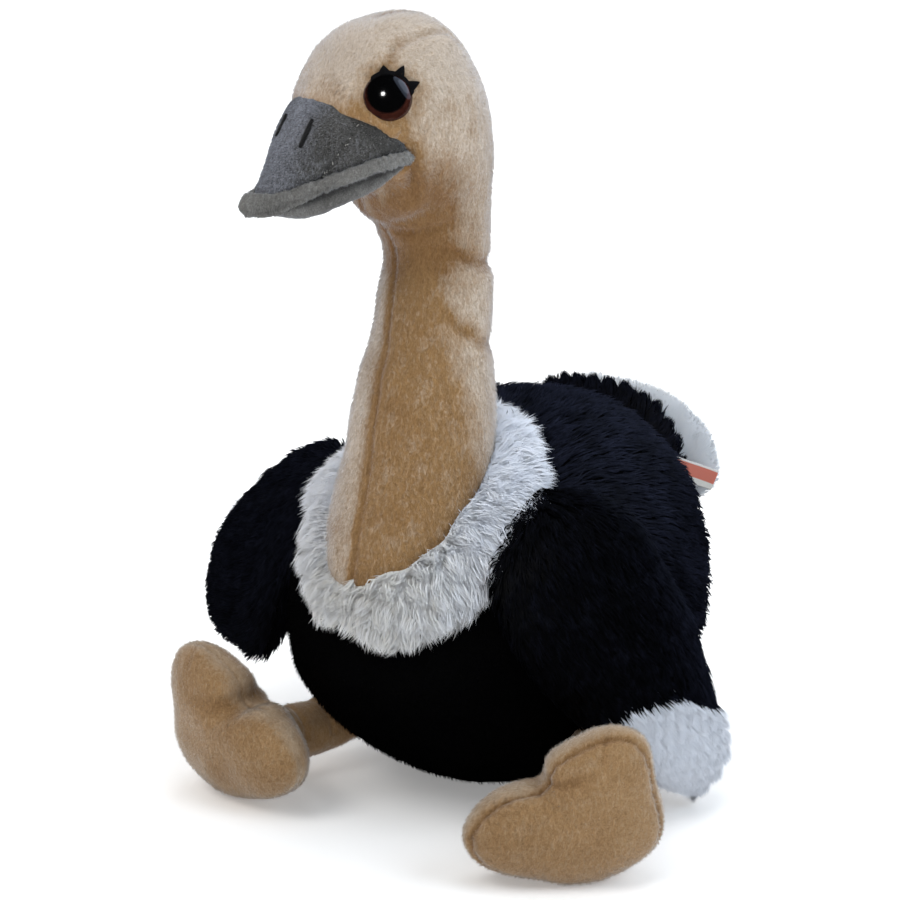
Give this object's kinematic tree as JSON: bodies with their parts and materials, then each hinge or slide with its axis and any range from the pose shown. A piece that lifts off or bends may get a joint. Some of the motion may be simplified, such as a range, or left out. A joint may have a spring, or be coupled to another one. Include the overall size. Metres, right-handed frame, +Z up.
{
  "type": "plush toy ostrich",
  "caption": "Seated plush ostrich toy with a long beige neck, grey bill, cream ruff, black body, white-ended wings and tail, and padded two-toed feet.",
  "frame": {"origin": "on the flat patch that the body sits on, level with the lowest point, under the middle of the trunk", "axes": "+Z up, the toy's breast and soles face -Y, its left side is +X"},
  "size_m": [0.2361, 0.1953, 0.267],
  "materials": {
    "beige_plush": "short plush",
    "tan_plush": "short plush",
    "grey_plush": "short dense pile",
    "black_plush": "long silky pile",
    "white_plush": "long silky pile",
    "cream_plush": "long fluffy pile",
    "eye_plastic": "polished, dark brown round a black pupil",
    "black_felt": "matt felt",
    "ribbon": "satin ribbon"
  },
  "bodies": {
    "root": {"trunk": "black_plush", "neck_lower": "beige_plush", "neck_upper": "beige_plush", "head": "beige_plush", "bill_upper": "grey_plush", "bill_lip": "grey_plush", "bill_lower": "grey_plush", "ruff": "cream_plush", "tail": "black_plush", "tail_tip": "white_plush", "label": "ribbon", "eye_left": "eye_plastic", "eye_right": "eye_plastic", "lashes_left": "black_felt", "lashes_right": "black_felt", "wing_left": "black_plush", "wing_right": "black_plush", "wing_tip_left": "white_plush", "wing_tip_right": "white_plush", "leg_left": "tan_plush", "leg_right": "tan_plush", "foot_left": "tan_plush", "foot_right": "tan_plush"}
  },
  "joints": []
}
